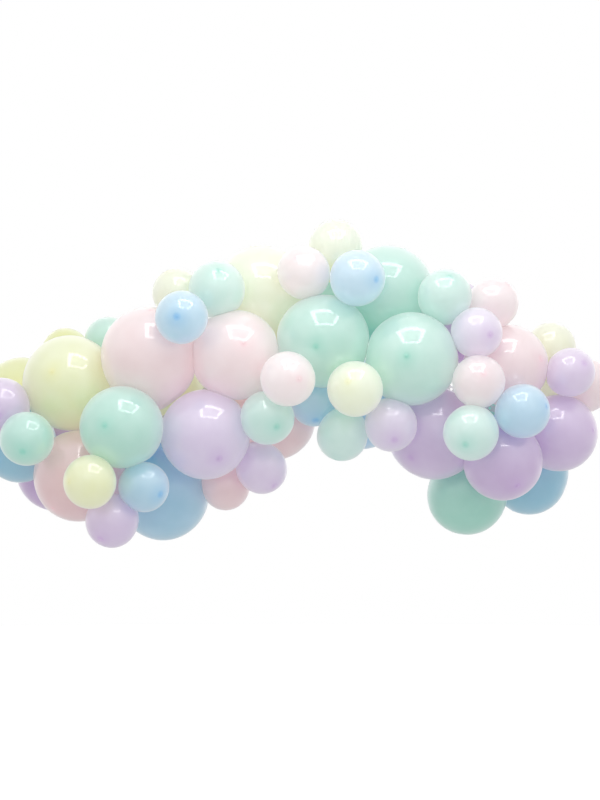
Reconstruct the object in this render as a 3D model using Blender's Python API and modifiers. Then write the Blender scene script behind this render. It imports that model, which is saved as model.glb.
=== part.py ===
"""Balloon garland: pastel latex balloons packed along a clear decorating strip.

The frame has +X along the garland to the right, +Y towards the wall that it hangs on and +Z up.
The origin is on the back face of the strip, at the crown of the swag, where the garland is hung.
"""
from collections import namedtuple
from math import cos, pi, radians, sin, sqrt

import bmesh
import bpy
import numpy as np
from mathutils import Matrix, Vector

MM = 0.001

# ---- the decorating strip: a thin flat band that the necks are tied to
STRIP_WIDTH = 14 * MM
STRIP_THICKNESS = 0.8 * MM
STRIP_ROOM = 8.5 * MM          # half the width of the channel that the balloons leave for it
STRIP_STEP = 28 * MM           # length of one flat facet along the band
HOLE_RADIUS = 3 * MM
HOLE_SIDES = 8
HOLE_OFFSET = 12 * MM          # from a hanging point to the hook hole on each side of it

# ---- the balloons, in radii of the round body unless millimetres are named
NECK_AT = 1.30                 # from the centre to the neck, on a balloon with room behind it
LIP_AT = 1.42                  # from the centre to the end of the rolled lip
LEAST_REACH = 1.06             # the shortest that a crowded balloon's lip comes from its centre
SHOULDER_POWER = 2.2           # how late the body starts to narrow towards the neck
SHOULDER_FULLNESS = 0.75       # how full the shoulder stays, less is fuller
TOUCH_GAP = 0.3 * MM           # left between two balloons that press on each other

# How finely each size is turned: sides round the axis, rings on the crown and on the shoulder,
# and the neck's and lip's radius.
Cut = namedtuple("Cut", "sides crown_rings shoulder neck lip")
CUTS = {
    "large": Cut(12, 2, (0.0, 0.50, 0.84), 0.065, 0.10),
    "small": Cut(10, 2, (0.0, 0.50, 0.84), 0.080, 0.125),
}

# The base colour of each latex.
LATEX = {
    "yellow": (0.86, 0.88, 0.52),
    "pink": (0.87, 0.64, 0.64),
    "mint": (0.42, 0.80, 0.66),
    "lilac": (0.64, 0.50, 0.78),
    "blue": (0.35, 0.66, 0.88),
}
LATEX_ROUGHNESS = 0.22
CLEAR_PLASTIC = (0.92, 0.94, 0.95)

# The strip's route through the garland, left to right: across, back, up, in millimetres. It runs
# level across the crown and straight at both tails, so that the hanging points are flat.
ROUTE = [
    (-795, -12, -114), (-740, -12, -114), (-690, -12, -114), (-645, -10, -108),
    (-615, 6, -116), (-585, 8, -136), (-530, -12, -168), (-470, -30, -170), (-370, -32, -166),
    (-320, -54, -150), (-285, -52, -130), (-250, -48, -106), (-210, -30, -76), (-150, 0, -34),
    (-80, 0, 0), (-25, 0, 0), (25, 0, 0), (100, 0, 0), (200, 0, 0), (250, 0, -18),
    (330, -4, -66), (410, -10, -114), (470, -20, -126), (510, -16, -116), (540, 6, -108),
    (562, 40, -132), (595, 64, -154), (632, 64, -154), (680, 64, -154),
]

# Hanging points on the strip's back face: across, in millimetres.
HANG_POINTS = {"left": -768, "crown": 0, "right": 656}

# A balloon: its size and colour, its centre (across, back, up) and radius in millimetres, and,
# where its crown is turned by hand, the turn to the right and up from facing straight out.
Balloon = namedtuple("Balloon", "size colour centre radius turn", defaults=(None,))

LAYOUT = [
    # left end
    Balloon("small", "lilac", (-680, -134, -120), 65),
    Balloon("large", "yellow", (-656, 124, -102), 98, (-171, 6)),
    Balloon("large", "blue", (-648, -19, -206), 88),
    Balloon("small", "mint", (-615, -207, -191), 61, (-5, -28)),
    Balloon("large", "lilac", (-572, 126, -269), 97),
    # left swell
    Balloon("small", "yellow", (-548, 64, 8), 56),
    Balloon("large", "yellow", (-528, -73, -65), 108),
    Balloon("large", "pink", (-505, -104, -278), 103, (-49, -44)),
    Balloon("small", "yellow", (-468, -263, -287), 60, (-49, 2)),
    Balloon("small", "mint", (-444, 14, 33), 56),
    Balloon("small", "lilac", (-425, -188, -378), 59),
    Balloon("large", "mint", (-402, -218, -165), 92, (-20, 3)),
    Balloon("small", "blue", (-351, -205, -300), 56, (46, -16)),
    Balloon("large", "pink", (-342, -136, -2), 109),
    Balloon("large", "blue", (-316, -30, -323), 104),
    Balloon("large", "yellow", (-298, 46, -92), 82),
    # rise to the crown
    Balloon("small", "yellow", (-281, -84, 141), 57),
    Balloon("small", "blue", (-265, -250, 81), 59, (-8, 0)),
    Balloon("large", "lilac", (-215, -157, -182), 101, (23, -32)),
    Balloon("small", "mint", (-191, 100, -95), 56),
    Balloon("small", "mint", (-189, -148, 148), 64),
    Balloon("small", "pink", (-171, -62, -302), 55),
    Balloon("large", "pink", (-147, -145, -1), 101, (12, 14)),
    Balloon("large", "yellow", (-88, -7, 144), 109, (-78, 76)),
    Balloon("small", "lilac", (-87, -113, -261), 57),
    Balloon("small", "mint", (-73, -203, -145), 60),
    Balloon("large", "pink", (-60, 20, -148), 95),
    # crown
    Balloon("small", "pink", (-27, -260, -57), 61, (24, 0)),
    Balloon("small", "pink", (8, -134, 187), 59),
    Balloon("small", "blue", (32, -86, -109), 55),
    Balloon("large", "mint", (52, -140, 30), 105),
    Balloon("small", "mint", (63, 42, 162), 58),
    Balloon("small", "yellow", (82, -30, 252), 61),
    Balloon("small", "mint", (96, -132, -186), 57),
    Balloon("small", "yellow", (123, -237, -79), 62, (-16, 15)),
    Balloon("small", "blue", (129, -186, 171), 63, (42, -4)),
    Balloon("large", "blue", (142, 10, -120), 98),
    Balloon("large", "mint", (201, -45, 144), 107, (84, 68)),
    Balloon("small", "lilac", (206, -173, -161), 59),
    Balloon("large", "mint", (253, -152, -11), 105, (-8, 3)),
    # fall to the right
    Balloon("large", "lilac", (309, -65, -178), 108, (-38, -32)),
    Balloon("small", "mint", (330, -134, 133), 61),
    Balloon("large", "lilac", (348, 43, 92), 89, (-129, 72)),
    Balloon("small", "mint", (384, -221, -178), 62),
    Balloon("large", "mint", (389, 23, -325), 92),
    Balloon("small", "lilac", (401, -168, 48), 57, (28, -5)),
    Balloon("small", "pink", (403, -199, -62), 59),
    Balloon("small", "pink", (442, -88, 118), 58),
    Balloon("small", "mint", (447, 68, -125), 51),
    Balloon("large", "lilac", (463, -118, -243), 90, (23, -37)),
    Balloon("large", "pink", (478, -66, -24), 92, (50, 9)),
    Balloon("small", "blue", (503, -196, -129), 61, (58, 11)),
    # right end
    Balloon("large", "blue", (539, 96, -285), 88),
    Balloon("small", "yellow", (584, 17, 19), 57),
    Balloon("small", "yellow", (586, 78, -83), 54),
    Balloon("large", "lilac", (598, -38, -180), 88),
    Balloon("small", "lilac", (621, -87, -40), 55, (31, 22)),
    Balloon("small", "pink", (671, 8, -67), 55),
]

NECK_TRIALS = 900              # directions tried for a neck that finds its own way inward


def new_collection(name):
    """Make a collection in the scene."""
    group = bpy.data.collections.new(name)
    bpy.context.scene.collection.children.link(group)
    return group


def principled(name, colour, roughness, alpha=1.0):
    """Make a plain material with one finish."""
    material = bpy.data.materials.new(name)
    material.use_nodes = True
    shader = material.node_tree.nodes["Principled BSDF"]
    shader.inputs["Base Color"].default_value = (*colour, 1.0)
    shader.inputs["Roughness"].default_value = roughness
    shader.inputs["Alpha"].default_value = alpha
    return material


def smooth_line(points, parts):
    """Read a smooth curve through the points, with the given number of parts to each stretch."""
    ends = [2 * points[0] - points[1], *points, 2 * points[-1] - points[-2]]
    line = []
    for before, start, end, after in zip(ends, ends[1:], ends[2:], ends[3:]):
        span = (end - start).length
        leave = (end - before) * span / (span + (start - before).length)
        arrive = (after - start) * span / (span + (after - end).length)
        for i in range(parts):
            t = i / parts
            line.append((1 - 3 * t**2 + 2 * t**3) * start + (3 * t**2 - 2 * t**3) * end
                        + (t - 2 * t**2 + t**3) * leave + (t**3 - t**2) * arrive)
    return [*line, points[-1]]


def strip_line():
    """The centre line of the strip, as closely spaced points; its back face is at Y = 0."""
    middle = Vector((0, STRIP_THICKNESS / 2, 0))
    return smooth_line([Vector(point) * MM - middle for point in ROUTE], 12)


def resample(line, step):
    """Points at even steps along a line, as near the step as fits it."""
    lengths = np.cumsum([0] + [(b - a).length for a, b in zip(line, line[1:])])
    stations = np.linspace(0, lengths[-1], round(lengths[-1] / step) + 1)
    columns = [np.interp(stations, lengths, [p[i] for p in line]) for i in range(3)]
    return [Vector(point) for point in zip(*columns)]


def crown_direction(turn):
    """The direction that a crown faces when it is turned right and up from straight out."""
    right, up = (radians(angle) for angle in turn)
    return np.array([sin(right) * cos(up), -cos(right) * cos(up), sin(up)])


def spiral_directions(count):
    """Evenly spread directions, on a golden spiral round a sphere."""
    k = np.arange(count) + 0.5
    height = 1 - 2 * k / count
    flat = np.sqrt(1 - height**2)
    angle = pi * (1 + sqrt(5)) * k
    return np.stack([np.cos(angle) * flat, np.sin(angle) * flat, height], axis=1)


def cell_of(index, centres, radii, line):
    """The flat faces that bound one balloon's room, as outward normals and distances.

    Two balloons that touch press flat on the plane where their round bodies would cross. The
    strip's channel bounds the room in the same way.
    """
    normals, offsets = [], []
    for other, (centre, radius) in enumerate(zip(centres, radii)):
        apart = centre - centres[index]
        distance = np.linalg.norm(apart)
        if other == index or distance > LIP_AT * (radii[index] + radius):
            continue
        normals.append(apart / distance)
        plane = (distance**2 + radii[index]**2 - radius**2) / (2 * distance)
        offsets.append(plane - TOUCH_GAP / 2)
    for point in line:
        apart = point - centres[index]
        distance = np.linalg.norm(apart)
        if distance < LIP_AT * radii[index] + 2 * STRIP_ROOM:
            normals.append(apart / distance)
            offsets.append(distance - STRIP_ROOM)
    return np.array(normals), np.array(offsets)


def room_along(cell, direction, width):
    """How far something of this width can reach in a direction before it leaves the cell."""
    normals, offsets = cell
    along = normals @ direction
    ahead = along > 0.05
    across = np.sqrt(np.clip(1 - along[ahead]**2, 0, 1))
    return np.min((offsets[ahead] - width * across) / along[ahead], initial=1.0)


def neck_direction(cell, centre, radius, width, line):
    """The way that a neck turns: towards the strip, and to where there is room for it."""
    inward = line[np.argmin(np.linalg.norm(line - centre, axis=1))] - centre
    inward /= np.linalg.norm(inward)
    best, best_score = inward, -10.0
    for direction in spiral_directions(NECK_TRIALS):
        if direction @ inward < 0.5:
            continue
        room = min(room_along(cell, direction, width), LIP_AT * radius) / (LIP_AT * radius)
        score = direction @ inward + 2 * room
        if score > best_score:
            best, best_score = direction, score
    return best


def balloon_profile(cut):
    """A balloon's outline from the lip down to the crown, as (radius, height) in body radii."""
    lip_end = [(0.0, LIP_AT), (cut.lip, LIP_AT - 0.02), (cut.neck, NECK_AT)]
    shoulder = []
    for part in reversed(cut.shoulder):
        body = (1 - part**SHOULDER_POWER)**SHOULDER_FULLNESS
        shoulder.append(((body**3 + cut.neck**3)**(1 / 3), part * NECK_AT))
    shoulder[-1] = (1.0, 0.0)
    crown = []
    for ring in range(cut.crown_rings, 0, -1):
        angle = ring * pi / 2 / (cut.crown_rings + 1)
        crown.append((sin(angle), -cos(angle)))
    return [*lip_end, *shoulder, *crown, (0.0, -1.0)]


def turned_balloon(size, cutters):
    """Turn the outline of one size of balloon into a closed mesh, one unit in radius."""
    outline = balloon_profile(CUTS[size])
    mesh = bpy.data.meshes.new("outline_" + size)
    edges = [(i, i + 1) for i in range(len(outline) - 1)]
    mesh.from_pydata([(x, 0, z) for x, z in outline], edges, [])
    profile = bpy.data.objects.new("outline_" + size, mesh)
    profile.hide_render = True
    profile.display_type = "WIRE"
    cutters.objects.link(profile)
    screw = profile.modifiers.new("turn", "SCREW")
    screw.steps = CUTS[size].sides
    screw.render_steps = CUTS[size].sides
    screw.use_merge_vertices = True
    screw.merge_threshold = 0.00001
    bpy.context.view_layer.update()
    evaluated = profile.evaluated_get(bpy.context.evaluated_depsgraph_get())
    turned = bpy.data.meshes.new_from_object(evaluated)
    turned.name = "turned_" + size
    return turned


def press(mesh, cell, turn, radius, stretch):
    """Blow the unit balloon up to its size and press it flat where it meets its neighbours."""
    points = np.empty(len(mesh.vertices) * 3)
    mesh.vertices.foreach_get("co", points)
    points = points.reshape(-1, 3)
    points[:, 2] *= np.where(points[:, 2] > 0, stretch, 1)
    points *= radius
    normals = cell[0] @ turn
    distances = np.linalg.norm(points, axis=1)
    directions = points / distances[:, None]
    along = directions @ normals.T
    reach = np.where(along > 0.001, cell[1] / np.maximum(along, 0.001), np.inf)
    points = directions * np.minimum(distances, reach.min(axis=1))[:, None]
    mesh.vertices.foreach_set("co", points.ravel())
    mesh.update()


def shade(mesh):
    """Shade a round piece smooth."""
    mesh.shade_smooth()
    mesh.set_sharp_from_angle(angle=radians(60))


def make_balloons(parts, cutters):
    """Make every balloon in the layout as its own closed piece."""
    line = np.array(strip_line())
    centres = [np.array(balloon.centre) * MM for balloon in LAYOUT]
    radii = [balloon.radius * MM for balloon in LAYOUT]
    masters = {size: turned_balloon(size, cutters) for size in CUTS}
    latex = {name: principled("latex_" + name, colour, LATEX_ROUGHNESS)
             for name, colour in LATEX.items()}
    counts = {}
    for index, balloon in enumerate(LAYOUT):
        kind = balloon.size + "_" + balloon.colour
        counts[kind] = counts.get(kind, 0) + 1
        cell = cell_of(index, centres, radii, line)
        width = CUTS[balloon.size].lip * radii[index]
        if balloon.turn:
            neck = -crown_direction(balloon.turn)
        else:
            neck = neck_direction(cell, centres[index], radii[index], width, line)
        room = room_along(cell, neck, width) / radii[index]
        stretch = min(max(room, LEAST_REACH), LIP_AT) / LIP_AT
        rotation = Vector(neck).to_track_quat("Z", "Y")
        mesh = masters[balloon.size].copy()
        press(mesh, cell, np.array(rotation.to_matrix()), radii[index], stretch)
        shade(mesh)
        mesh.materials.append(latex[balloon.colour])
        piece = bpy.data.objects.new("{}_{:02d}".format(kind, counts[kind]), mesh)
        piece.matrix_world = Matrix.LocRotScale(Vector(centres[index]), rotation, None)
        parts.objects.link(piece)


def hole_cutter(cutters):
    """One cutter for all the hook holes: a short round bar through the strip at each."""
    shape = bmesh.new()
    line = np.array(strip_line())
    for across in HANG_POINTS.values():
        nearest = line[np.argmin(abs(line[:, 0] - across * MM))]
        for side in (-1, 1):
            place = Vector((across * MM + side * HOLE_OFFSET, nearest[1], nearest[2]))
            matrix = Matrix.Translation(place) @ Matrix.Rotation(pi / 2, 4, "X")
            bmesh.ops.create_cone(shape, cap_ends=True, segments=HOLE_SIDES, radius1=HOLE_RADIUS,
                                  radius2=HOLE_RADIUS, depth=10 * STRIP_THICKNESS, matrix=matrix)
    mesh = bpy.data.meshes.new("hook_holes")
    shape.to_mesh(mesh)
    shape.free()
    cutter = bpy.data.objects.new("hook_holes", mesh)
    cutter.hide_render = True
    cutter.display_type = "WIRE"
    cutters.objects.link(cutter)
    return cutter


def make_strip(parts, cutters):
    """The clear strip: a flat band on edge along its route, with hook holes at its hang points."""
    curve = bpy.data.curves.new("decorating_strip", "CURVE")
    curve.dimensions = "3D"
    curve.twist_mode = "Z_UP"
    curve.extrude = STRIP_WIDTH / 2 - STRIP_THICKNESS / 2
    curve.bevel_depth = STRIP_THICKNESS / 2
    curve.bevel_resolution = 0
    curve.use_fill_caps = True
    points = resample(strip_line(), STRIP_STEP)
    spline = curve.splines.new("POLY")
    spline.points.add(len(points) - 1)
    for point, place in zip(spline.points, points):
        point.co = (*place, 1)
    guide = bpy.data.objects.new("strip_route", curve)
    cutters.objects.link(guide)
    bpy.context.view_layer.update()
    evaluated = guide.evaluated_get(bpy.context.evaluated_depsgraph_get())
    mesh = bpy.data.meshes.new_from_object(evaluated)
    mesh.name = "decorating_strip"
    weld = bmesh.new()
    weld.from_mesh(mesh)
    bmesh.ops.remove_doubles(weld, verts=weld.verts, dist=0.00001)
    weld.to_mesh(mesh)
    weld.free()
    mesh.materials.clear()
    mesh.materials.append(principled("strip_clear", CLEAR_PLASTIC, 0.15, alpha=0.4))
    strip = bpy.data.objects.new("decorating_strip", mesh)
    strip.matrix_world = guide.matrix_world
    bpy.data.objects.remove(guide)
    parts.objects.link(strip)
    holes = strip.modifiers.new("hook_holes", "BOOLEAN")
    holes.operation = "DIFFERENCE"
    holes.object = hole_cutter(cutters)


def main():
    """Clear the scene and build the garland."""
    for thing in list(bpy.data.objects):
        bpy.data.objects.remove(thing)
    parts = new_collection("balloon_garland")
    cutters = new_collection("cutters")
    make_strip(parts, cutters)
    make_balloons(parts, cutters)


main()
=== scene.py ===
"""Looks of a balloon garland: pastel latex balloons in two sizes, tied through a clear strip.

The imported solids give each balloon's place, size and the way its neck turns. Here every balloon
gets its skin: a turned body with a tip, shoulder, knot and rolled lip, blown up and pressed
softly against its neighbours. The strip gets its row of holes, and a small studio lights it all.
"""
import logging
import math
from dataclasses import dataclass, field
from enum import Enum

import bmesh
import bpy
import numpy as np
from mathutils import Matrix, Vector


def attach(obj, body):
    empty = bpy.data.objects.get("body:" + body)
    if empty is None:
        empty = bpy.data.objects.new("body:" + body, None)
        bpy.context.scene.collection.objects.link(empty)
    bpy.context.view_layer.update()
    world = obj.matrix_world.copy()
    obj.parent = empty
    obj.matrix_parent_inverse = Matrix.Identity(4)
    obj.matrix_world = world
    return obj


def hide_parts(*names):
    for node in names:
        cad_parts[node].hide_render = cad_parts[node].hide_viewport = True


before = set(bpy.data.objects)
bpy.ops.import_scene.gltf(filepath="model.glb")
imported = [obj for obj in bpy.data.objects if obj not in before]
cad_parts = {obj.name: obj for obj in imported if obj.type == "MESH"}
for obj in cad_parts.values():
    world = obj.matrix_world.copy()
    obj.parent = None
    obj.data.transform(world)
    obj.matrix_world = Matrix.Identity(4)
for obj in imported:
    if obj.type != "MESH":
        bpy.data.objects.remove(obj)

LOG = logging.getLogger("garland")
MM = 0.001
ROOT = "root"
WHITE = (1.0, 1.0, 1.0, 1.0)
NOISE_SPAN = (0.3, 0.7)        # noise seldom leaves this range


class Size(Enum):
    """The two sizes of balloon, by the first word of a node's name."""

    LARGE = "large"
    SMALL = "small"


class Tone(Enum):
    """The latex colours, by the second word of a node's name."""

    YELLOW = "yellow"
    PINK = "pink"
    MINT = "mint"
    LILAC = "lilac"
    BLUE = "blue"


# ---------------------------------------------------------------------------- helpers


def deselect_all() -> None:
    """Leave edit mode if it is on, and select nothing."""
    active = bpy.context.view_layer.objects.active
    if active is not None and active.mode != "OBJECT":
        bpy.ops.object.mode_set(mode="OBJECT")
    bpy.ops.object.select_all(action="DESELECT")


def activate(piece: bpy.types.Object) -> None:
    """Select one object alone and make it the active one.

    Args:
        piece: The object to work on.
    """
    deselect_all()
    piece.select_set(True)
    bpy.context.view_layer.objects.active = piece


def add_object(name: str, data: bpy.types.ID) -> bpy.types.Object:
    """Put a new object into the scene.

    Args:
        name: The object's name.
        data: Its mesh, curve, light or camera.

    Returns:
        The new object.
    """
    made = bpy.data.objects.new(name, data)
    bpy.context.scene.collection.objects.link(made)
    return made


def read_points(mesh: bpy.types.Mesh) -> np.ndarray:
    """Read a mesh's vertices.

    Args:
        mesh: The mesh to read.

    Returns:
        One row of x, y and z for each vertex.
    """
    flat = np.empty(len(mesh.vertices) * 3)
    mesh.vertices.foreach_get("co", flat)
    return flat.reshape(-1, 3)


def write_points(mesh: bpy.types.Mesh, points: np.ndarray) -> None:
    """Move a mesh's vertices.

    Args:
        mesh: The mesh to change.
        points: One row of x, y and z for each vertex.
    """
    mesh.vertices.foreach_set("co", points.ravel())
    mesh.update()


def write_attribute(mesh: bpy.types.Mesh, name: str, values: np.ndarray) -> None:
    """Store one number for each vertex, for a material to read.

    Args:
        mesh: The mesh to change.
        name: The attribute's name.
        values: One number for each vertex.
    """
    layer = mesh.attributes.get(name) or mesh.attributes.new(name, "FLOAT", "POINT")
    layer.data.foreach_set("value", values.astype(np.float32))


def soft_step(low: float, high: float, values: np.ndarray) -> np.ndarray:
    """Rise smoothly from 0 to 1 as the values go from low to high.

    Args:
        low: Where the rise starts.
        high: Where it ends.
        values: The values to read.

    Returns:
        A number from 0 to 1 for each value.
    """
    t = np.clip((values - low) / (high - low), 0.0, 1.0)
    return t * t * (3.0 - 2.0 * t)


# ---------------------------------------------------------------------------- materials


class NodeSheet:
    """A node tree with a short way to add and join nodes."""

    def __init__(self, tree: bpy.types.NodeTree) -> None:
        """Take hold of a node tree.

        Args:
            tree: The tree to build in.
        """
        self.tree = tree

    def add(self, kind: str, inputs: dict | None = None, **settings: object) -> bpy.types.Node:
        """Add a node, with its settings and its inputs.

        Args:
            kind: The node's type, without its ShaderNode prefix.
            inputs: Input names or numbers, each with a value or an output socket to join.
            **settings: Attributes to set on the node.

        Returns:
            The new node.
        """
        node = self.tree.nodes.new("ShaderNode" + kind)
        for name, value in settings.items():
            setattr(node, name, value)
        self.feed(node, inputs or {})
        return node

    def feed(self, node: bpy.types.Node, inputs: dict) -> None:
        """Set a node's inputs.

        Args:
            node: The node.
            inputs: Input names or numbers, each with a value or an output socket to join.
        """
        for key, value in inputs.items():
            if isinstance(value, bpy.types.NodeSocket):
                self.tree.links.new(value, node.inputs[key])
            else:
                node.inputs[key].default_value = value

    def work(self, operation: str, *values: object, **settings: object) -> bpy.types.NodeSocket:
        """Do arithmetic.

        Args:
            operation: The Math node's operation.
            *values: Numbers or output sockets.
            **settings: Attributes to set on the node.

        Returns:
            The result.
        """
        node = self.add("Math", dict(enumerate(values)), operation=operation, **settings)
        return node.outputs[0]

    def ramp(self, value: bpy.types.NodeSocket, span: tuple, target: tuple = (0.0, 1.0),
             curve: str = "LINEAR") -> bpy.types.NodeSocket:
        """Map a value from one span to another, held at both ends.

        Args:
            value: The value to map.
            span: Where it starts and ends, as numbers or sockets.
            target: What it becomes there.
            curve: How it goes from one to the other: LINEAR or SMOOTHSTEP.

        Returns:
            The mapped value.
        """
        ends = {"From Min": span[0], "From Max": span[1], "To Min": target[0], "To Max": target[1]}
        node = self.add("MapRange", {"Value": value, **ends}, interpolation_type=curve)
        return node.outputs["Result"]

    def blend(self, factor: bpy.types.NodeSocket, start: object,
              end: object) -> bpy.types.NodeSocket:
        """Blend two colours.

        Args:
            factor: The socket that gives the share of the second colour.
            start: The first colour, as a value or a socket.
            end: The second colour, as a value or a socket.

        Returns:
            The blended colour.
        """
        # A Mix node's colours are its inputs 6 and 7 and its output 2.
        node = self.add("Mix", {0: factor, 6: start, 7: end}, data_type="RGBA")
        return node.outputs[2]

    def noise(self, scale: float, detail: float, roughness: float) -> bpy.types.NodeSocket:
        """Add noise that stays with the piece.

        Args:
            scale: How fine it is.
            detail: How many finer layers it has.
            roughness: How strong they are.

        Returns:
            The noise.
        """
        place = self.add("TexCoord").outputs["Object"]
        node = self.add("TexNoise", {"Vector": place, "Scale": scale, "Detail": detail,
                                     "Roughness": roughness})
        return node.outputs["Fac"]


def new_group(name: str, inputs: dict[str, float],
              outputs: list[str]) -> tuple[NodeSheet, bpy.types.Node, bpy.types.Node]:
    """Start a shader node group with named number inputs and outputs.

    Args:
        name: The group's name.
        inputs: Input names, each with its default number.
        outputs: Output names.

    Returns:
        The sheet to build in, the group's input node and its output node.
    """
    tree = bpy.data.node_groups.new(name, "ShaderNodeTree")
    for label, value in inputs.items():
        socket = tree.interface.new_socket(label, in_out="INPUT", socket_type="NodeSocketFloat")
        socket.default_value = value
    for label in outputs:
        tree.interface.new_socket(label, in_out="OUTPUT", socket_type="NodeSocketFloat")
    return NodeSheet(tree), tree.nodes.new("NodeGroupInput"), tree.nodes.new("NodeGroupOutput")


def new_material(name: str) -> tuple[bpy.types.Material, NodeSheet, bpy.types.Node]:
    """Start a material on its Principled shader.

    Args:
        name: The material's name.

    Returns:
        The material, the sheet to build in and the shader.
    """
    material = bpy.data.materials.new(name)
    material.use_nodes = True
    tree = material.node_tree
    return material, NodeSheet(tree), tree.nodes["Principled BSDF"]


@dataclass(frozen=True)
class LatexGauge:
    """How the thickness of the skin shows: thick at the tip and the neck, faintly cloudy between.

    The spot at the tip is measured along the skin, and the neck down from the lip in radii of the
    body. Each depth is the share of the deep colour that its place reaches.
    """

    spot_core: float = 18 * MM
    spot_halo: float = 40 * MM
    neck_start: float = 0.75
    neck_end: float = 0.08
    core_depth: float = 0.6
    halo_depth: float = 0.25
    neck_depth: float = 0.85
    cloud_scale: float = 22.0
    cloud_roughness: float = 0.4
    grain_scale: float = 900.0
    grain_roughness: float = 0.6
    noise_detail: float = 2.0

    def build(self) -> bpy.types.NodeTree:
        """Build the node group.

        Returns:
            The group, with outputs for thickness, clouding and fine grain.
        """
        sheet, given, result = new_group(
            "latex_gauge",
            {"Core": self.spot_core, "Halo": self.spot_halo, "Neck": self.neck_start},
            ["Thickness", "Cloud", "Grain"])
        tip = sheet.add("Attribute", attribute_name="from_tip").outputs["Fac"]
        lip = sheet.add("Attribute", attribute_name="from_lip").outputs["Fac"]
        smooth = "SMOOTHSTEP"
        core = sheet.ramp(tip, (given.outputs["Core"], 0.0), (0.0, self.core_depth), smooth)
        halo = sheet.ramp(tip, (given.outputs["Halo"], 0.0), (0.0, self.halo_depth), smooth)
        neck = sheet.ramp(lip, (given.outputs["Neck"], self.neck_end), (0.0, self.neck_depth),
                          smooth)
        spot = sheet.work("MAXIMUM", core, halo)
        sheet.feed(result, {
            "Thickness": sheet.work("MAXIMUM", spot, neck),
            "Cloud": sheet.noise(self.cloud_scale, self.noise_detail, self.cloud_roughness),
            "Grain": sheet.noise(self.grain_scale, self.noise_detail, self.grain_roughness),
        })
        return sheet.tree


@dataclass(frozen=True)
class Latex:
    """One colour of balloon latex: pale blown up, richer left slack or in painted shade, deep
    where it is thick.

    The bloom is the dusty sheen and the glow is light under the skin. The painted glow is a steady
    glow painted into the skin in its own colour, which stands in for light that comes through a
    thin balloon from behind.
    """

    tone: Tone
    pale: tuple[float, float, float]
    slack_and_shade: tuple[float, float, float]
    deep: tuple[float, float, float]
    roughness: float = 0.50
    coat: float = 0.5
    coat_roughness: float = 0.075
    coat_bend: float = 2.4
    bend: float = 1.5
    gloss: float = 0.9
    bloom: float = 0.8
    bloom_roughness: float = 0.4
    glow: float = 1.0
    glow_depth: float = 0.3
    # painted glow: the skin gives off light in its own colour
    painted_glow: float = 0.25
    clouding: float = 0.10
    grain: tuple[float, float] = (-0.03, 0.05)
    ripple: float = 0.25
    ripple_height: float = 1.5 * MM

    @property
    def slot(self) -> str:
        """The record's material slot for this colour."""
        return "latex_" + self.tone.value

    def build(self, gauge: bpy.types.NodeTree) -> bpy.types.Material:
        """Build the material.

        Args:
            gauge: The group that gives the skin's thickness.

        Returns:
            The new material.
        """
        material, sheet, shader = new_material(self.slot + "_skin")
        skin = sheet.add("Group", node_tree=gauge)
        # The balloon's slack value: partly real slackness, partly painted shade for balloons in
        # shade.
        given = sheet.add("Attribute", attribute_name="slack_and_shade").outputs["Fac"]
        clouded = sheet.ramp(skin.outputs["Cloud"], NOISE_SPAN, (0.0, self.clouding))
        slack_and_shade = sheet.work("ADD", clouded, given, use_clamp=True)
        thin = sheet.blend(slack_and_shade, (*self.pale, 1.0), (*self.slack_and_shade, 1.0))
        colour = sheet.blend(skin.outputs["Thickness"], thin, (*self.deep, 1.0))
        smooth, coarse = (self.roughness + change for change in self.grain)
        bump = sheet.add("Bump", {"Height": skin.outputs["Cloud"], "Strength": self.ripple,
                                  "Distance": self.ripple_height})
        sheet.feed(shader, {
            "Base Color": colour,
            # Painted glow: the skin gives off light in its own colour, standing in for light
            # through thin latex.
            "Emission Color": colour,
            "Emission Strength": self.painted_glow,
            "Roughness": sheet.ramp(skin.outputs["Grain"], NOISE_SPAN, (smooth, coarse)),
            "Normal": bump.outputs["Normal"],
            "Coat Weight": self.coat,
            "Coat Roughness": self.coat_roughness,
            "Coat IOR": self.coat_bend,
            "Sheen Weight": self.bloom,
            "Sheen Roughness": self.bloom_roughness,
            "Sheen Tint": WHITE,
            "IOR": self.bend,
            "Specular IOR Level": self.gloss,
            "Subsurface Weight": self.glow,
            "Subsurface Radius": WHITE[:3],
            "Subsurface Scale": self.glow_depth,
        })
        return material


@dataclass(frozen=True)
class ClearPlastic:
    """The strip's clear film, a little milky where it is scuffed."""

    tint: tuple[float, float, float] = (0.90, 0.93, 0.95)
    alpha: tuple[float, float] = (0.36, 0.46)
    roughness: tuple[float, float] = (0.10, 0.22)
    scuff_scale: float = 45.0
    scuff_detail: float = 5.0
    scuff_roughness: float = 0.5

    def build(self) -> bpy.types.Material:
        """Build the material.

        Returns:
            The new material.
        """
        material, sheet, shader = new_material("strip_clear_film")
        scuff = sheet.noise(self.scuff_scale, self.scuff_detail, self.scuff_roughness)
        sheet.feed(shader, {
            "Base Color": (*self.tint, 1.0),
            "Alpha": sheet.ramp(scuff, NOISE_SPAN, self.alpha),
            "Roughness": sheet.ramp(scuff, NOISE_SPAN, self.roughness),
        })
        return material


LATEX = (
    Latex(Tone.YELLOW, pale=(0.73, 0.78, 0.61), slack_and_shade=(0.58, 0.60, 0.22), deep=(0.70, 0.68, 0.30),
          gloss=0.5),
    Latex(Tone.PINK, pale=(0.79, 0.66, 0.67), slack_and_shade=(0.57, 0.34, 0.35), deep=(0.79, 0.46, 0.50)),
    Latex(Tone.MINT, pale=(0.48, 0.67, 0.60), slack_and_shade=(0.14, 0.41, 0.32), deep=(0.13, 0.49, 0.38)),
    Latex(Tone.LILAC, pale=(0.61, 0.55, 0.69), slack_and_shade=(0.35, 0.22, 0.42), deep=(0.41, 0.24, 0.52)),
    Latex(Tone.BLUE, pale=(0.43, 0.58, 0.73), slack_and_shade=(0.12, 0.33, 0.43), deep=(0.04, 0.28, 0.66)),
)
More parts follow.
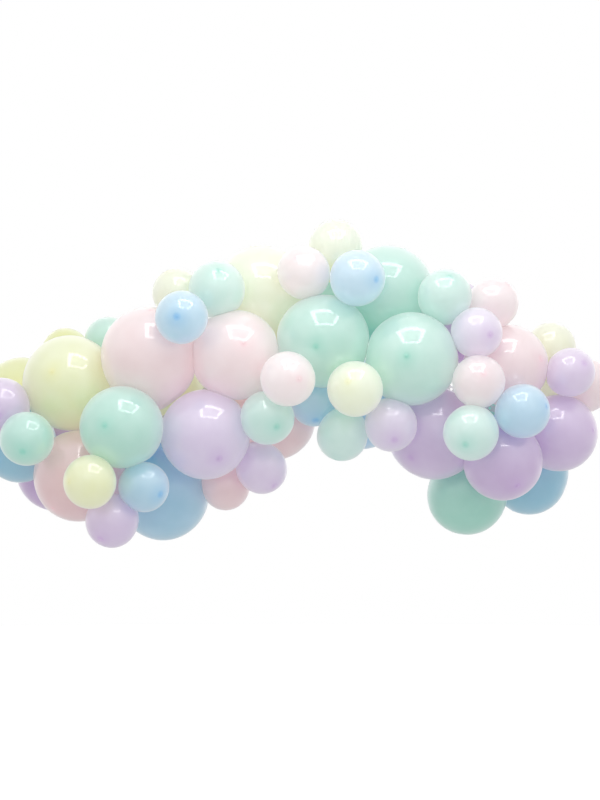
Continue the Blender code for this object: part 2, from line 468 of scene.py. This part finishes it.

# How far each skin goes to its richer, darker colour: 0 is fully blown up and pale. More is partly
# a slacker skin and partly painted shade on balloons that sit lower down or further back.
USUAL_SLACK_AND_SHADE = 0.20
SLACK_AND_SHADE = {
    "large_yellow_01": 0.65, "large_yellow_02": 0.37, "large_yellow_03": 0.40,
    "large_yellow_04": 0.00,
    "large_pink_01": 0.60, "large_pink_03": 0.10, "large_pink_04": 0.50,
    "large_mint_01": 0.30, "large_mint_03": 0.18, "large_mint_04": 0.10, "large_mint_05": 0.58,
    "large_lilac_01": 0.75, "large_lilac_02": 0.15, "large_lilac_03": 0.40,
    "large_lilac_04": 0.40, "large_lilac_05": 0.55, "large_lilac_06": 0.43,
    "large_blue_01": 0.67, "large_blue_02": 0.42, "large_blue_04": 0.65,
    "small_yellow_01": 0.85, "small_yellow_02": 0.47, "small_yellow_03": 0.10,
    "small_yellow_04": 0.00, "small_yellow_05": 0.10,
    "small_pink_01": 0.60, "small_pink_02": 0.02, "small_pink_03": 0.00, "small_pink_04": 0.10,
    "small_pink_05": 0.07,
    "small_mint_01": 0.38, "small_mint_02": 0.30, "small_mint_04": 0.00, "small_mint_05": 0.12,
    "small_mint_07": 0.00, "small_mint_08": 0.00, "small_mint_09": 0.00,
    "small_lilac_01": 0.35, "small_lilac_02": 0.40, "small_lilac_03": 0.25,
    "small_lilac_04": 0.15, "small_lilac_05": 0.00, "small_lilac_06": 0.25,
    "small_blue_01": 0.30, "small_blue_03": 0.25, "small_blue_04": 0.00,
}


# ---------------------------------------------------------------------------- the strip


@dataclass
class DecoratingStrip:
    """The clear band that the necks are tied through, with its row of holes.

    The route is the line of its back face, as stops across, back and up in millimetres, and each
    stretch between two stops is drawn in the same number of parts.
    """

    width: float = 14 * MM
    thickness: float = 0.8 * MM
    hole_pitch: float = 20 * MM
    hole_radius: float = 3.2 * MM
    route: tuple[tuple[float, float, float], ...] = (
        (-795, -12, -114), (-740, -12, -114), (-690, -12, -114), (-645, -10, -108),
        (-615, 6, -116), (-585, 8, -136), (-530, -12, -168), (-470, -30, -170),
        (-370, -32, -166), (-320, -54, -150), (-285, -52, -130), (-250, -48, -106),
        (-210, -30, -76), (-150, 0, -34), (-80, 0, 0), (-25, 0, 0), (25, 0, 0), (100, 0, 0),
        (200, 0, 0), (250, 0, -18), (330, -4, -66), (410, -10, -114), (470, -20, -126),
        (510, -16, -116), (540, 6, -108), (562, 40, -132), (595, 64, -154), (632, 64, -154),
        (680, 64, -154),
    )
    parts: int = 12
    weld: float = 0.1 * MM
    seam_weld: float = 0.01 * MM
    smooth_angle: float = math.radians(40)

    def line(self) -> np.ndarray:
        """Read a smooth curve through the route, half a thickness in front of the back face.

        Between two stops the curve is a cubic, and at a stop it heads from the stop before to the
        stop after.

        Returns:
            Closely spaced points along the middle of the band.
        """
        stops = np.array(self.route) * MM - (0, self.thickness / 2, 0)
        ends = np.vstack([2 * stops[0] - stops[1], stops, 2 * stops[-1] - stops[-2]])
        t = (np.arange(self.parts) / self.parts)[:, None]
        line = []
        for before, start, end, after in zip(ends, ends[1:], ends[2:], ends[3:]):
            span = np.linalg.norm(end - start)
            leave = (end - before) * span / (span + np.linalg.norm(start - before))
            arrive = (after - start) * span / (span + np.linalg.norm(after - end))
            line.append((1 - 3 * t**2 + 2 * t**3) * start + (3 * t**2 - 2 * t**3) * end
                        + (t - 2 * t**2 + t**3) * leave + (t**3 - t**2) * arrive)
        return np.vstack([*line, stops[-1:]])

    def link(self) -> bpy.types.Object:
        """Model one link of the band: a flat plate on edge with a round hole in it.

        Returns:
            The link, with its left edge at the origin.
        """
        deselect_all()
        half = self.hole_pitch / 2
        bpy.ops.mesh.primitive_plane_add(size=self.hole_pitch, location=(half, 0, 0),
                                         rotation=(math.pi / 2, 0, 0))
        bpy.ops.object.transform_apply(location=True, rotation=True, scale=True)
        plate = bpy.context.active_object
        plate.name = "decorating_strip_band"
        bpy.ops.object.mode_set(mode="EDIT")
        # Of the sixteen faces, the middle four go, and the points round them become the hole.
        bpy.ops.mesh.subdivide(number_cuts=3)
        bpy.ops.mesh.select_all(action="DESELECT")
        mesh = bmesh.from_edit_mesh(plate.data)
        for face in mesh.faces:
            middle = face.calc_center_median()
            face.select = abs(middle.x - half) < half / 2 and abs(middle.z) < half / 2
        bmesh.update_edit_mesh(plate.data)
        bpy.ops.mesh.delete(type="FACE")
        bpy.ops.object.mode_set(mode="OBJECT")
        points = read_points(plate.data)
        points[:, 0] -= half
        away = np.linalg.norm(points[:, [0, 2]], axis=1)
        inner = away < half * 0.8
        points[inner] *= (self.hole_radius / away[inner])[:, None]
        points[:, 2] *= np.where(inner, 1.0, self.width / self.hole_pitch)
        points[:, 0] += half
        write_points(plate.data, points)
        return plate

    def build(self) -> bpy.types.Object:
        """Lay the band along its route and finish it.

        Returns:
            The finished strip.
        """
        line = self.line()
        length = np.linalg.norm(np.diff(line, axis=0), axis=1).sum()
        count = round(length / self.hole_pitch)
        band = self.link()
        points = read_points(band.data)
        points[:, 0] *= length / count / self.hole_pitch
        write_points(band.data, points)
        curve = bpy.data.curves.new("strip_route", "CURVE")
        curve.dimensions = "3D"
        curve.twist_mode = "Z_UP"
        spline = curve.splines.new("POLY")
        spline.points.add(len(line) - 1)
        for point, place in zip(spline.points, line):
            point.co = (*place, 1)
        guide = add_object("strip_route", curve)
        activate(band)
        row = band.modifiers.new("row", "ARRAY")
        row.count = count
        row.use_merge_vertices = True
        row.merge_threshold = self.weld
        follow = band.modifiers.new("follow", "CURVE")
        follow.object = guide
        follow.deform_axis = "POS_X"
        wall = band.modifiers.new("wall", "SOLIDIFY")
        wall.thickness = self.thickness
        wall.offset = 0.0
        for name in ("row", "follow", "wall"):
            bpy.ops.object.modifier_apply(modifier=name)
        bpy.data.objects.remove(guide)
        bpy.ops.object.mode_set(mode="EDIT")
        bpy.ops.mesh.select_all(action="SELECT")
        bpy.ops.mesh.remove_doubles(threshold=self.seam_weld)
        bpy.ops.mesh.normals_make_consistent(inside=False)
        bpy.ops.object.mode_set(mode="OBJECT")
        bpy.ops.object.shade_smooth_by_angle(angle=self.smooth_angle)
        band.data.materials.append(ClearPlastic().build())
        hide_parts("decorating_strip")
        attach(band, ROOT)
        return band


# ---------------------------------------------------------------------------- balloons


@dataclass(frozen=True)
class Cut:
    """How one size of balloon is cut, in radii of its round body."""

    neck: float
    knot: float
    waist: float
    lip: float
    segments: int
    crown_rings: int
    shoulder_rings: int


CUTS = {
    Size.LARGE: Cut(0.055, 0.085, 0.045, 0.090, segments=72, crown_rings=22, shoulder_rings=20),
    Size.SMALL: Cut(0.070, 0.105, 0.055, 0.115, segments=56, crown_rings=18, shoulder_rings=16),
}


@dataclass
class MasterBalloon:
    """A balloon of one size with a body of radius 1 about the origin, its neck upward.

    Its measures are in radii. Heights above the neck are measured from it, and the rest from the
    middle of the body.
    """

    size: Size

    # the small nub that stands out at the tip
    nub_height: float = 0.010
    nub_radius: float = 0.014
    nub_foot: float = 0.030
    nub_roundness: float = 0.8

    # the shoulder, from the equator to the neck
    neck_at: float = 1.30
    shoulder_power: float = 2.2
    shoulder_fullness: float = 0.75
    shoulder_crowding: float = 1.35

    # the knot, and the tail that flares from it to the rolled lip
    knot_above: float = 0.030
    knot_half: float = 0.022
    knot_rings: int = 5
    tail_above: float = 0.066
    tail_flare: tuple[float, float] = (1.05, 1.35)
    lip_at: float = 1.42
    bead: float = 0.012
    bead_rings: int = 6
    bead_start: float = 0.35

    # the hollow inside the lip: how wide it is in lips or waists, and how deep in beads
    mouth: tuple[float, float] = (0.62, 2.2)
    throat: tuple[float, float] = (0.6, 3.4)
    throat_end: float = 3.8

    # the pleats that gather at the neck, and the pinch beyond the knot
    pleats: int = 9
    pleat_depth: float = 0.10
    fine_pleat: float = 0.4
    fine_pleat_turn: float = 1.1
    pleats_below: tuple[float, float] = (0.26, 0.04)
    pleats_end: float = 0.02
    pinch_above: tuple[float, float] = (0.055, 0.09)
    pinch_widening: float = 0.12
    pinch_flattening: float = 0.45

    # how near two points are to be made one
    weld: float = 0.0001

    def outline(self) -> list[tuple[float, float]]:
        """Draw the outline from the tip to the inside of the lip.

        Returns:
            Distance from the axis and height of each point, in radii.
        """
        return self.crown() + self.shoulder() + self.knot() + self.lip()

    def crown(self) -> list[tuple[float, float]]:
        """Draw the nub at the tip and the round crown, up to the equator.

        Returns:
            The outline's points.
        """
        rings = CUTS[self.size].crown_rings
        drawn = [(0.0, -1.0 - self.nub_height),
                 (self.nub_radius, -1.0 - self.nub_height * self.nub_roundness),
                 (self.nub_foot, -1.0)]
        for ring in range(1, rings):
            angle = math.pi / 2 * ring / rings
            drawn.append((math.sin(angle), -math.cos(angle)))
        return drawn

    def shoulder(self) -> list[tuple[float, float]]:
        """Draw the shoulder, which narrows from the equator to the neck.

        Returns:
            The outline's points, closer together towards the neck.
        """
        cut = CUTS[self.size]
        drawn = []
        for ring in range(cut.shoulder_rings):
            part = 1 - (1 - ring / cut.shoulder_rings) ** self.shoulder_crowding
            body = (1 - part**self.shoulder_power) ** self.shoulder_fullness
            # The body and the neck run into each other without a corner.
            drawn.append(((body**3 + cut.neck**3) ** (1 / 3), part * self.neck_at))
        return drawn

    def knot(self) -> list[tuple[float, float]]:
        """Draw the knot above the neck.

        Returns:
            The outline's points.
        """
        cut = CUTS[self.size]
        middle = self.neck_at + self.knot_above
        drawn = []
        for ring in range(self.knot_rings):
            angle = math.pi * (ring + 0.5) / self.knot_rings
            drawn.append((cut.waist + (cut.knot - cut.waist) * math.sin(angle),
                          middle - self.knot_half * math.cos(angle)))
        return drawn

    def lip(self) -> list[tuple[float, float]]:
        """Draw the tail beyond the knot, its rolled lip and the hollow inside it.

        Returns:
            The outline's points.
        """
        cut = CUTS[self.size]
        bead = self.bead
        tail = self.neck_at + self.tail_above
        flare = self.lip_at - 2 * bead
        drawn = [(cut.waist * self.tail_flare[0], tail),
                 (cut.waist * self.tail_flare[1], (tail + flare) / 2)]
        for ring in range(self.bead_rings):
            angle = math.pi * (ring / (self.bead_rings - 1) - self.bead_start)
            drawn.append((cut.lip - bead + bead * math.cos(angle),
                          self.lip_at - bead + bead * math.sin(angle)))
        drawn.append((cut.lip * self.mouth[0], self.lip_at - self.mouth[1] * bead))
        drawn.append((cut.waist * self.throat[0], self.lip_at - self.throat[1] * bead))
        drawn.append((0.0, self.lip_at - self.throat_end * bead))
        return drawn

    def build(self) -> bpy.types.Object:
        """Model the balloon: its outline is drawn point by point and spun round the axis.

        Returns:
            The balloon, which is copied and then removed.
        """
        cut = CUTS[self.size]
        outline = self.outline()
        deselect_all()
        bpy.ops.mesh.primitive_plane_add(size=0.01, location=(0, 0, 0))
        body = bpy.context.active_object
        body.name = "balloon_" + self.size.value
        bpy.ops.object.mode_set(mode="EDIT")
        bpy.ops.mesh.select_all(action="SELECT")
        bpy.ops.mesh.merge(type="CENTER")
        bpy.ops.transform.translate(value=(0, 0, outline[0][1]))
        for start, end in zip(outline, outline[1:]):
            move = (end[0] - start[0], 0, end[1] - start[1])
            bpy.ops.mesh.extrude_region_move(TRANSFORM_OT_translate={"value": move})
        bpy.ops.mesh.select_all(action="SELECT")
        bpy.ops.mesh.spin(steps=cut.segments, angle=2 * math.pi, center=(0, 0, 0),
                          axis=(0, 0, 1), dupli=False)
        bpy.ops.mesh.select_all(action="SELECT")
        bpy.ops.mesh.remove_doubles(threshold=self.weld)
        bpy.ops.mesh.normals_make_consistent(inside=False)
        bpy.ops.object.mode_set(mode="OBJECT")
        self.pinch(body.data)
        return body

    def pinch(self, mesh: bpy.types.Mesh) -> None:
        """Gather the neck into pleats and pinch the tail flat beyond the knot.

        Args:
            mesh: The spun balloon.
        """
        points = read_points(mesh)
        turn = np.arctan2(points[:, 1], points[:, 0])
        height = points[:, 2]
        neck = self.neck_at
        start, full = self.pleats_below
        gather = (soft_step(neck - start, neck - full, height)
                  * (1 - soft_step(neck, neck + self.pleats_end, height)))
        fine = np.cos(2 * self.pleats * turn + self.fine_pleat_turn)
        ripple = np.cos(self.pleats * turn) + self.fine_pleat * fine
        points[:, :2] *= (1 + self.pleat_depth * gather * ripple)[:, None]
        start, full = self.pinch_above
        tail = soft_step(neck + start, neck + full, height)
        points[:, 0] *= 1 + self.pinch_widening * tail
        points[:, 1] *= 1 - self.pinch_flattening * tail
        write_points(mesh, points)


@dataclass
class Balloon:
    """One balloon of the garland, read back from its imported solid."""

    node: str
    centre: np.ndarray
    neck: np.ndarray
    radius: float
    stretch: float

    @property
    def size(self) -> Size:
        """The size that the node's name gives."""
        return Size(self.node.split("_")[0])

    @property
    def tone(self) -> Tone:
        """The colour that the node's name gives."""
        return Tone(self.node.split("_")[1])

    @classmethod
    def read(cls, node: str, master: MasterBalloon) -> "Balloon":
        """Find the centre, the neck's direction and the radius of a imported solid.

        The two points where the most faces meet are the tip and the middle of the lip. The point
        farthest from the line between them lies on the equator.

        Args:
            node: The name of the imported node.
            master: The master of its size, for the lip's height.

        Returns:
            The balloon.
        """
        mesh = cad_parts[node].data
        mesh.calc_loop_triangles()
        corners = np.array([list(t.vertices) for t in mesh.loop_triangles])
        points, index = np.unique(np.round(read_points(mesh), 6), axis=0, return_inverse=True)
        corners = index.reshape(-1)[corners]
        poles = np.argsort(-np.bincount(corners.ravel()))[:2]
        spans = []
        for pole in poles:
            fan = np.unique(corners[(corners == pole).any(axis=1)])
            spans.append(np.linalg.norm(points[fan] - points[pole], axis=1).max())
        lip, tip = points[poles[int(np.argmin(spans))]], points[poles[int(np.argmax(spans))]]
        neck = (lip - tip) / np.linalg.norm(lip - tip)
        along = (points - tip) @ neck
        away = np.linalg.norm(points - tip - along[:, None] * neck, axis=1)
        widest = int(np.argmax(away))
        centre = tip + along[widest] * neck
        radius = float(away[widest])
        stretch = float((lip - centre) @ neck) / (master.lip_at * radius)
        return cls(node, centre, neck, radius, stretch)


@dataclass
class Garland:
    """All the balloons, packed round the strip.

    The more the softness, the sharper a skin turns at the rim of a pressed face. The waves say
    which ways its faint waver runs. The last three keep the pressing within bounds: how far a face
    must look a point's way to count, how far in a point may go, and the room where none counts.
    """

    strip: DecoratingStrip
    masters: dict[Size, MasterBalloon] = field(
        default_factory=lambda: {size: MasterBalloon(size) for size in Size})
    strip_room: float = 8.5 * MM
    touch_gap: float = 0.3 * MM
    softness: float = 80.0
    wobble: float = 0.008
    swell: float = 0.010
    waves: tuple[tuple[float, float, float], ...] = ((1.7, 2.1, 1.3), (-1.9, 1.2, 2.3))
    least_facing: float = 0.02
    least_room: float = 0.2
    open_room: float = 1000.0

    def read(self) -> list[Balloon]:
        """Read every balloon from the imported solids.

        Returns:
            The balloons, in the order of their names.
        """
        names = [n for n in sorted(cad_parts) if n != "decorating_strip"]
        return [Balloon.read(n, self.masters[Size(n.split("_")[0])]) for n in names]

    def cell(self, balloon: Balloon, others: list[Balloon],
             line: np.ndarray) -> tuple[np.ndarray, np.ndarray]:
        """Find the flat faces that bound a balloon's room.

        Args:
            balloon: The balloon.
            others: All the balloons.
            line: Points along the strip.

        Returns:
            The faces' outward normals, and their distances from the balloon's centre.
        """
        reach = self.masters[balloon.size].lip_at
        normals, offsets = [], []
        for other in others:
            apart = other.centre - balloon.centre
            distance = np.linalg.norm(apart)
            if other is balloon or distance > reach * (balloon.radius + other.radius):
                continue
            normals.append(apart / distance)
            plane = (distance**2 + balloon.radius**2 - other.radius**2) / (2 * distance)
            offsets.append(plane - self.touch_gap / 2)
        apart = line - balloon.centre
        distance = np.linalg.norm(apart, axis=1)
        near = distance < reach * balloon.radius + 2 * self.strip_room
        normals.extend(apart[near] / distance[near, None])
        offsets.extend(distance[near] - self.strip_room)
        return np.array(normals), np.array(offsets)

    def press(self, points: np.ndarray, cell: tuple[np.ndarray, np.ndarray]) -> np.ndarray:
        """Press a blown-up balloon softly into its room.

        Every point moves straight towards the centre, to just inside the nearest face. Near the
        rim of a pressed face the skin rounds off, as it does on a real balloon.

        Args:
            points: The skin, about the balloon's centre.
            cell: The faces that bound its room.

        Returns:
            The pressed skin.
        """
        distance = np.linalg.norm(points, axis=1)
        ways = points / distance[:, None]
        along = ways @ cell[0].T
        room = np.where(along > self.least_facing,
                        cell[1] / np.maximum(along, self.least_facing), self.open_room)
        nearest = np.maximum(room.min(axis=1) / distance, self.least_room)
        free = (1.0 + nearest ** -self.softness) ** (-1 / self.softness)
        return points * free[:, None]

    def build_balloon(self, balloon: Balloon, others: list[Balloon], line: np.ndarray,
                      master: bpy.types.Object, material: bpy.types.Material) -> None:
        """Copy the master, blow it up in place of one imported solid, and dress it.

        Args:
            balloon: The balloon to make.
            others: All the balloons.
            line: Points along the strip.
            master: The modelled master of its size.
            material: Its latex.
        """
        mesh = master.data.copy()
        mesh.name = balloon.node + "_skin"
        seed = others.index(balloon)
        points = read_points(mesh)
        off_tip = np.arctan2(np.hypot(points[:, 0], points[:, 1]), -points[:, 2])
        write_attribute(mesh, "from_tip", off_tip * balloon.radius)
        write_attribute(mesh, "from_lip", self.masters[balloon.size].lip_at - points[:, 2])
        points[:, 2] *= np.where(points[:, 2] > 0, balloon.stretch, 1.0)
        first, second = self.waves
        wave = np.sin(points @ first + seed) * np.sin(points @ second + 2 * seed)
        points *= (balloon.radius * (1 + self.swell + self.wobble * wave))[:, None]
        turn = np.array(Vector(balloon.neck).to_track_quat("Z", "Y").to_matrix())
        points = self.press(points @ turn.T, self.cell(balloon, others, line))
        write_points(mesh, points + balloon.centre)
        # Slack richens the skin, and also paints shade onto balloons lower down or further back.
        slack_and_shade = SLACK_AND_SHADE.get(balloon.node, USUAL_SLACK_AND_SHADE)
        write_attribute(mesh, "slack_and_shade", np.full(len(points), slack_and_shade))
        piece = add_object(balloon.node + "_skin", mesh)
        mesh.materials.append(material)
        mesh.shade_smooth()
        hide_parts(balloon.node)
        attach(piece, ROOT)

    def build(self) -> None:
        """Build the strip and every balloon."""
        band = self.strip.build()
        LOG.info("strip %s: %d faces", band.name, len(band.data.polygons))
        gauge = LatexGauge().build()
        skins = {latex.tone: latex.build(gauge) for latex in LATEX}
        models = {size: master.build() for size, master in self.masters.items()}
        balloons = self.read()
        line = self.strip.line()
        for balloon in balloons:
            self.build_balloon(balloon, balloons, line, models[balloon.size], skins[balloon.tone])
            LOG.info("balloon %s: radius %.0f mm, neck stretched to %.2f", balloon.node,
                     balloon.radius / MM, balloon.stretch)
        for model in models.values():
            bpy.data.objects.remove(model)


# ---------------------------------------------------------------------------- the studio


@dataclass(frozen=True)
class Fill:
    """An even light from half the sky, which casts no shadow and leaves no reflection."""

    name: str
    strength: float
    toward: tuple[float, float, float]


@dataclass
class Studio:
    """A white room without edges, a wide light bank overhead and the camera.

    Each gloss is how bright the room looks in a reflection that way. Each rise and turn is the
    part of the way up, or of the way to the back, over which it brightens.
    """

    camera_place: tuple[float, float, float] = (0.0, -6.96, -0.104)
    lens: float = 135.0
    sensor: float = 36.0
    garland_middle: tuple[float, float, float] = (0.0, 0.0, -0.10)

    room_light: float = 0.37
    ground_gloss: float = 0.50
    sky_gloss: float = 1.2
    sky_rise: tuple[float, float] = (-0.4, 0.9)
    backdrop_gloss: float = 0.9
    backdrop_rise: tuple[float, float] = (-0.6, 0.0)
    backdrop_turn: tuple[float, float] = (0.3, 1.0)

    bank_place: tuple[float, float, float] = (0.20, -1.07, 1.33)
    bank_size: tuple[float, float] = (1.50, 1.40)
    bank_bar: float = 0.22
    bank_power: float = 8.3
    bar_brightness: float = 3.2
    panel_brightness: float = 0.25
    fills: tuple[Fill, ...] = (
        Fill("fill_front", 0.43, (0, 1, 0)),
        Fill("fill_top", 0.06, (0, 0, -1)),
        Fill("fill_bottom", 0.06, (0, 0, 1)),
    )

    floor_height: float = -1.30
    floor_radius: float = 9.0
    floor_sides: int = 96
    floor_paper: float = 0.9
    floor_roughness: float = 0.9
    floor_white: float = 0.64

    def build(self) -> None:
        """Build the camera, the lights, the room and the floor."""
        self.build_camera()
        self.build_room()
        self.build_bank()
        self.build_bank_glow()
        self.build_fills()
        self.build_floor()
        view = bpy.context.scene.view_settings
        view.view_transform = "Standard"
        view.look = "None"

    def build_camera(self) -> None:
        """Set the camera level, straight in front of the garland."""
        data = bpy.data.cameras.new("camera")
        data.lens = self.lens
        data.sensor_width = self.sensor
        camera = add_object("camera", data)
        camera.location = self.camera_place
        camera.rotation_euler = (math.pi / 2, 0, 0)
        bpy.context.scene.camera = camera

    def build_room(self) -> None:
        """Surround the garland with a plain white room.

        In a reflection the room is brighter overhead, and brighter behind above the horizon,
        which leaves the upper rims milky.
        """
        world = bpy.data.worlds.new("white_room")
        bpy.context.scene.world = world
        world.use_nodes = True
        sheet = NodeSheet(world.node_tree)
        nodes = world.node_tree.nodes
        wall = nodes["Background"]
        sheet.feed(wall, {"Color": WHITE, "Strength": self.room_light})
        way = sheet.add("SeparateXYZ", {0: sheet.add("TexCoord").outputs["Generated"]})
        up, back = way.outputs["Z"], way.outputs["Y"]
        smooth = "SMOOTHSTEP"
        sky = sheet.ramp(up, self.sky_rise, (self.ground_gloss, self.sky_gloss), smooth)
        raised = sheet.ramp(up, self.backdrop_rise, curve=smooth)
        behind = sheet.ramp(back, self.backdrop_turn, (0.0, self.backdrop_gloss), smooth)
        bright = sheet.work("MULTIPLY_ADD", raised, behind, sky)
        mirrored = sheet.add("Background", {"Color": WHITE, "Strength": bright})
        seen = sheet.add("Background", {"Color": WHITE, "Strength": 1.0})
        path = sheet.add("LightPath")
        gloss = sheet.add("MixShader", {0: path.outputs["Is Glossy Ray"], 1: wall.outputs[0],
                                        2: mirrored.outputs[0]})
        mix = sheet.add("MixShader", {0: path.outputs["Is Camera Ray"], 1: gloss.outputs[0],
                                      2: seen.outputs[0]})
        sheet.feed(nodes["World Output"], {"Surface": mix.outputs[0]})

    def hang_panel(self, name: str, offset: tuple[float, float], size: tuple[float, float],
                   energy: float) -> bpy.types.Object:
        """Hang one flat light at the bank, facing down and unseen by the camera.

        Args:
            name: The light's name.
            offset: Its place across and back from the bank's centre.
            size: Its width and depth.
            energy: Its power.

        Returns:
            The light.
        """
        data = bpy.data.lights.new(name, "AREA")
        data.shape = "RECTANGLE"
        data.size, data.size_y = size
        data.energy = energy
        panel = add_object(name, data)
        x, y, z = self.bank_place
        panel.location = (x + offset[0], y + offset[1], z)
        panel.visible_camera = False
        return panel

    def build_bank(self) -> None:
        """Hang the bank that gloss mirrors: four bright bars in a frame and a dim panel in it."""
        wide, deep = self.bank_size
        bar = self.bank_bar
        side = (wide - bar) / 2
        end = (deep - bar) / 2
        inner = (wide - 2 * bar, deep - 2 * bar)
        for name, offset, size, brightness in (
                ("bar_front", (0, -end), (wide, bar), self.bar_brightness),
                ("bar_back", (0, end), (wide, bar), self.bar_brightness),
                ("bar_left", (-side, 0), (bar, inner[1]), self.bar_brightness),
                ("bar_right", (side, 0), (bar, inner[1]), self.bar_brightness),
                ("panel_middle", (0, 0), inner, self.panel_brightness)):
            energy = brightness * math.pi * size[0] * size[1]
            self.hang_panel(name, offset, size, energy).visible_diffuse = False

    def build_bank_glow(self) -> None:
        """Let the bank light the garland as one soft panel turned towards it."""
        panel = self.hang_panel("bank_glow", (0, 0), self.bank_size, self.bank_power)
        aim = Vector(self.garland_middle) - panel.location
        panel.rotation_euler = aim.to_track_quat("-Z", "Y").to_euler()
        panel.visible_glossy = False

    def build_fills(self) -> None:
        """Fill the hollows between the balloons, as light that comes through thin latex does."""
        for fill in self.fills:
            data = bpy.data.lights.new(fill.name, "SUN")
            data.angle = math.pi
            data.energy = fill.strength * math.pi
            data.use_shadow = False
            light = add_object(fill.name, data)
            light.rotation_euler = Vector(fill.toward).to_track_quat("-Z", "Y").to_euler()
            light.visible_glossy = False

    def build_floor(self) -> None:
        """Lay a wide white floor, lifted to white for the camera alone and left out of gloss."""
        deselect_all()
        bpy.ops.mesh.primitive_circle_add(vertices=self.floor_sides, radius=self.floor_radius,
                                          fill_type="NGON", location=(0, 0, self.floor_height))
        floor = bpy.context.active_object
        floor.name = "studio_floor"
        floor.visible_glossy = False
        material, sheet, shader = new_material("floor_paper")
        camera_ray = sheet.add("LightPath").outputs["Is Camera Ray"]
        sheet.feed(shader, {
            "Base Color": (*[self.floor_paper] * 3, 1.0),
            "Roughness": self.floor_roughness,
            "Emission Color": WHITE,
            "Emission Strength": sheet.work("MULTIPLY", camera_ray, self.floor_white),
        })
        floor.data.materials.append(material)


def main() -> None:
    """Build the studio and the garland."""
    logging.basicConfig(level=logging.INFO, format="%(message)s")
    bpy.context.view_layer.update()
    Studio().build()
    Garland(DecoratingStrip()).build()


if __name__ == "__main__":
    main()
